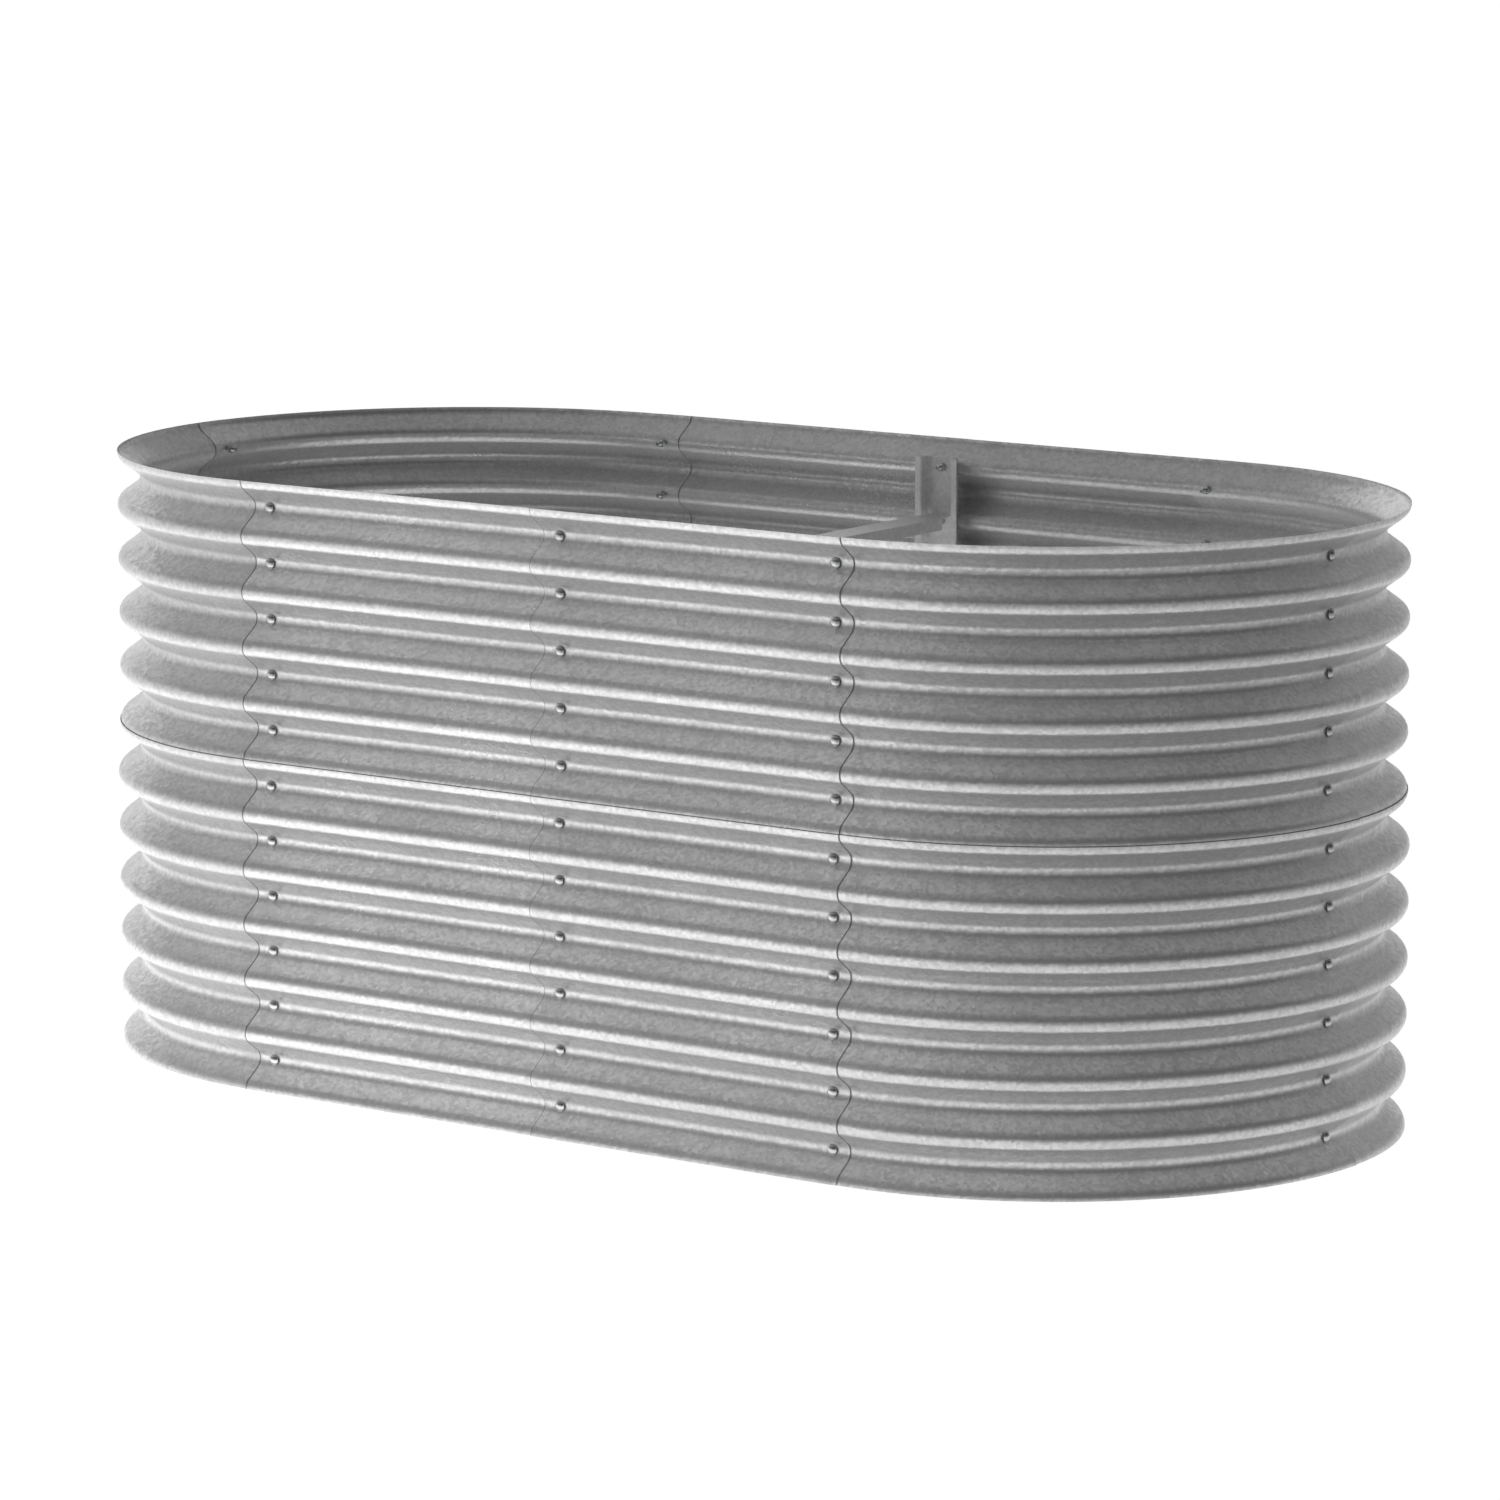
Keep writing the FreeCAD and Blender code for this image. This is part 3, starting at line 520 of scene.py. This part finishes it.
washer_zinc = bright_zinc("bright_zinc_washer", "#d6d8d9", "#bdc0c2", 0.3)
nut_zinc = bright_zinc("bright_zinc_nut", "#d2d4d5", "#b8bbbd", 0.26)

washer_form = turned_part([
    (BORE_RADIUS, EDGE_ROLL - WASHER_GAUGE), (BORE_RADIUS, -EDGE_ROLL),
    (BORE_RADIUS + EDGE_ROLL, 0), (WASHER_RADIUS - EDGE_ROLL, 0),
    (WASHER_RADIUS, -EDGE_ROLL), (WASHER_RADIUS, EDGE_ROLL - WASHER_GAUGE),
    (WASHER_RADIUS - EDGE_ROLL, -WASHER_GAUGE), (BORE_RADIUS + EDGE_ROLL, -WASHER_GAUGE),
    (BORE_RADIUS, EDGE_ROLL - WASHER_GAUGE)])

nut_form = bmesh.new()
bmesh.ops.create_circle(nut_form, segments=6, radius=NUT_FLATS / math.sqrt(3), cap_ends=False)
bmesh.ops.subdivide_edges(nut_form, edges=nut_form.edges[:], cuts=NUT_SIDE_CUTS - 1)
bmesh.ops.create_circle(nut_form, segments=6 * NUT_SIDE_CUTS, radius=BORE_RADIUS, cap_ends=False)
bmesh.ops.bridge_loops(nut_form, edges=nut_form.edges[:])
top = bmesh.ops.extrude_face_region(nut_form, geom=nut_form.faces[:])["geom"]
bmesh.ops.translate(nut_form, verts=[g for g in top if isinstance(g, bmesh.types.BMVert)],
                    vec=(0, 0, -NUT_HEIGHT))
# the corners are turned off to a cone at both ends
for vert in nut_form.verts:
    past = math.hypot(vert.co.x, vert.co.y) - NUT_CORNER_START * NUT_FLATS / 2
    if past > 0:
        vert.co.z += past * math.tan(NUT_CORNER_ANGLE) * (1 if vert.co.z < -NUT_HEIGHT / 2 else -1)

for column in COLUMNS:
    for kind, form, material in (("washers", washer_form, washer_zinc),
                                 ("nuts", nut_form, nut_zinc)):
        node = f"{column}_{kind}"
        places = [(centre + outward * tip, outward, NUT_TURN * number if kind == "nuts" else 0.0)
                  for number, (centre, outward, tip) in enumerate(fastener_places(node))]
        set_in_place(form, places, node + "_turned", material, node)
washer_form.free()
nut_form.free()

# ---------------------------------------------------------------- studio
# A bright floor in a dim room: the waves' undersides show the floor, which falls off to
# the right, and their upper sides the pale walls and the darker ceiling. There are no lamps.
CAMERA_AIM = Vector((0.009, 0.0, 0.4277))
CAMERA_DISTANCE = 8.4027
CAMERA_TURN = math.radians(35.446)  # from the front towards the right
CAMERA_RISE = math.radians(9.580)
CAMERA_LENS = 155.3

camera = bpy.data.cameras.new("camera")
camera.sensor_width = 36.0
camera.lens = CAMERA_LENS
camera.clip_end = 200.0
viewer = bpy.data.objects.new("camera", camera)
backwards = Vector((math.sin(CAMERA_TURN) * math.cos(CAMERA_RISE),
                    -math.cos(CAMERA_TURN) * math.cos(CAMERA_RISE), math.sin(CAMERA_RISE)))
viewer.location = CAMERA_AIM + CAMERA_DISTANCE * backwards
viewer.rotation_euler = (-backwards).to_track_quat("-Z", "Y").to_euler()
bpy.context.scene.collection.objects.link(viewer)
bpy.context.scene.camera = viewer

FLOOR_HALF = 30.0
FLOOR_SINK = 0.0003  # under the bed's foot, so that the two never share a plane
FLOOR_LEFT, FLOOR_RIGHT = 1.92, 0.8  # brightness
FALL_START, FALL_END = -0.8, 1.6  # X between which it falls off
FLOOR_NEAR, FLOOR_FAR = 1.15, 0.65  # share left close to the bed and away from it
NEAR_END, FAR_START = 0.9, 3.0  # distance from the bed's middle line
FLOOR_IN_BED = 0.9  # brightness of the floor inside, as the metal shows it
BED_HALF_WIDTH = 0.42  # inside
BACKDROP = 1.14  # brightness to the camera, which the matt share brings to white
floor_edit = bmesh.new()
bmesh.ops.create_grid(floor_edit, x_segments=1, y_segments=1, size=FLOOR_HALF,
                      matrix=Matrix.Translation((0, 0, -FLOOR_SINK)))
floor_paint = bpy.data.materials.new("white_floor_paint")
floor_paint.use_nodes = True
floor_tree = floor_paint.node_tree
floor_tree.nodes.clear()
seen = add_node(floor_tree, "ShaderNodeLightPath")
shown = add_node(floor_tree, "ShaderNodeMath", {
    0: seen.outputs["Is Camera Ray"], 1: seen.outputs["Is Transmission Ray"]}, operation="MAXIMUM")
lift = add_node(floor_tree, "ShaderNodeMix", {
    0: shown.outputs["Value"], 2: 0.8, 3: 0.85}, data_type="FLOAT")
matt = add_node(floor_tree, "ShaderNodeBsdfDiffuse", {"Color": linear("#f7f7f7")})
across = add_node(floor_tree, "ShaderNodeSeparateXYZ", {
    "Vector": add_node(floor_tree, "ShaderNodeTexCoord").outputs["Object"]})
fall = add_node(floor_tree, "ShaderNodeMapRange", {
    "Value": across.outputs["X"], "From Min": FALL_START, "From Max": FALL_END,
    "To Min": FLOOR_LEFT, "To Max": FLOOR_RIGHT}, interpolation_type="SMOOTHSTEP")
# distance from the bed's middle line, which ends at the centres of the two ends
past_run = add_node(floor_tree, "ShaderNodeMath", {
    0: add_node(floor_tree, "ShaderNodeMath", {
        0: across.outputs["X"]}, operation="ABSOLUTE").outputs["Value"],
    1: HALF_RUN}, operation="SUBTRACT")
beyond = add_node(floor_tree, "ShaderNodeMath", {0: past_run.outputs["Value"], 1: 0.0},
                  operation="MAXIMUM")
outwards = add_node(floor_tree, "ShaderNodeVectorMath", {
    0: add_node(floor_tree, "ShaderNodeCombineXYZ", {
        "X": beyond.outputs["Value"], "Y": across.outputs["Y"]}).outputs["Vector"]},
    operation="LENGTH")
# it is brightest close to the bed
close = add_node(floor_tree, "ShaderNodeMapRange", {
    "Value": outwards.outputs["Value"], "From Min": NEAR_END, "From Max": FAR_START,
    "To Min": FLOOR_NEAR, "To Max": FLOOR_FAR}, interpolation_type="SMOOTHSTEP")
lit = add_node(floor_tree, "ShaderNodeMath", {
    0: fall.outputs["Result"], 1: close.outputs["Result"]}, operation="MULTIPLY")
# the metal shows the floor inside the bed in shade
in_bed = add_node(floor_tree, "ShaderNodeMath", {
    0: outwards.outputs["Value"], 1: BED_HALF_WIDTH}, operation="LESS_THAN")
shade = add_node(floor_tree, "ShaderNodeMath", {
    0: in_bed.outputs["Value"], 1: seen.outputs["Is Glossy Ray"]}, operation="MULTIPLY")
shaded = add_node(floor_tree, "ShaderNodeMix", {
    0: shade.outputs["Value"], 2: lit.outputs["Value"], 3: FLOOR_IN_BED}, data_type="FLOAT")
brightness = add_node(floor_tree, "ShaderNodeMix", {
    0: shown.outputs["Value"], 2: shaded.outputs[0], 3: BACKDROP}, data_type="FLOAT")
glow = add_node(floor_tree, "ShaderNodeEmission", {
    "Color": linear("#ffffff"), "Strength": brightness.outputs[0]})
both = add_node(floor_tree, "ShaderNodeMixShader", {
    0: lift.outputs[0], 1: matt.outputs["BSDF"], 2: glow.outputs["Emission"]})
add_node(floor_tree, "ShaderNodeOutputMaterial", {"Surface": both.outputs["Shader"]})
floor = finished(floor_edit, "floor", [floor_paint])

world = bpy.data.worlds.new("studio")
bpy.context.scene.world = world
world.use_nodes = True
world_tree = world.node_tree
world_tree.nodes.clear()
towards = add_node(world_tree, "ShaderNodeTexCoord").outputs["Generated"]
# a dim ceiling, lightest overhead and to the left
ceiling_side = add_node(world_tree, "ShaderNodeVectorMath", {0: towards, 1: (-0.6, 0.1, 0.79)},
                        operation="DOT_PRODUCT")
ceiling = add_node(world_tree, "ShaderNodeMapRange", {
    "Value": ceiling_side.outputs["Value"], "From Min": 0.1, "To Min": 0.07, "To Max": 0.39})
# pale walls that darken upwards and to the right
axes = add_node(world_tree, "ShaderNodeSeparateXYZ", {"Vector": towards})
wall_height = add_node(world_tree, "ShaderNodeMapRange", {
    "Value": axes.outputs["Z"], "From Min": 0.0, "From Max": 0.4, "To Min": 0.65, "To Max": 0.0},
    interpolation_type="SMOOTHSTEP")
wall_side = add_node(world_tree, "ShaderNodeMapRange", {
    "Value": axes.outputs["X"], "From Min": -1.0, "To Min": 1.1, "To Max": 0.4})
wall_light = add_node(world_tree, "ShaderNodeMath", {
    0: wall_height.outputs["Result"], 1: wall_side.outputs["Result"], 2: ceiling.outputs["Result"]},
    operation="MULTIPLY_ADD")
# a skylight beyond the back of the bed
skylight_side = add_node(world_tree, "ShaderNodeVectorMath", {0: towards, 1: (0.26, 0.8, 0.54)},
                         operation="DOT_PRODUCT")
skylight = add_node(world_tree, "ShaderNodeMapRange", {
    "Value": skylight_side.outputs["Value"], "From Min": 0.8, "From Max": 0.96, "To Max": 0.2},
    interpolation_type="SMOOTHSTEP")
roof_light = add_node(world_tree, "ShaderNodeMath", {
    0: wall_light.outputs["Value"], 1: skylight.outputs["Result"]}, operation="ADD")
# a large window to the back left
window_side = add_node(world_tree, "ShaderNodeVectorMath", {0: towards, 1: (-0.76, 0.63, 0.12)},
                       operation="DOT_PRODUCT")
window = add_node(world_tree, "ShaderNodeMapRange", {
    "Value": window_side.outputs["Value"], "From Min": 0.8, "From Max": 0.97},
    interpolation_type="SMOOTHSTEP")
room = add_node(world_tree, "ShaderNodeMix", {
    0: window.outputs["Result"], 2: roof_light.outputs["Value"], 3: 1.25}, data_type="FLOAT")
paths = add_node(world_tree, "ShaderNodeLightPath")
plain = add_node(world_tree, "ShaderNodeMath", {
    0: paths.outputs["Is Camera Ray"], 1: paths.outputs["Is Transmission Ray"]},
    operation="MAXIMUM")
strength = add_node(world_tree, "ShaderNodeMix", {
    0: plain.outputs["Value"], 2: room.outputs[0], 3: 1.0}, data_type="FLOAT")
air = add_node(world_tree, "ShaderNodeBackground", {
    "Color": linear("#ffffff"), "Strength": strength.outputs[0]})
add_node(world_tree, "ShaderNodeOutputWorld", {"Surface": air.outputs["Background"]})

bpy.context.scene.view_settings.view_transform = "Standard"
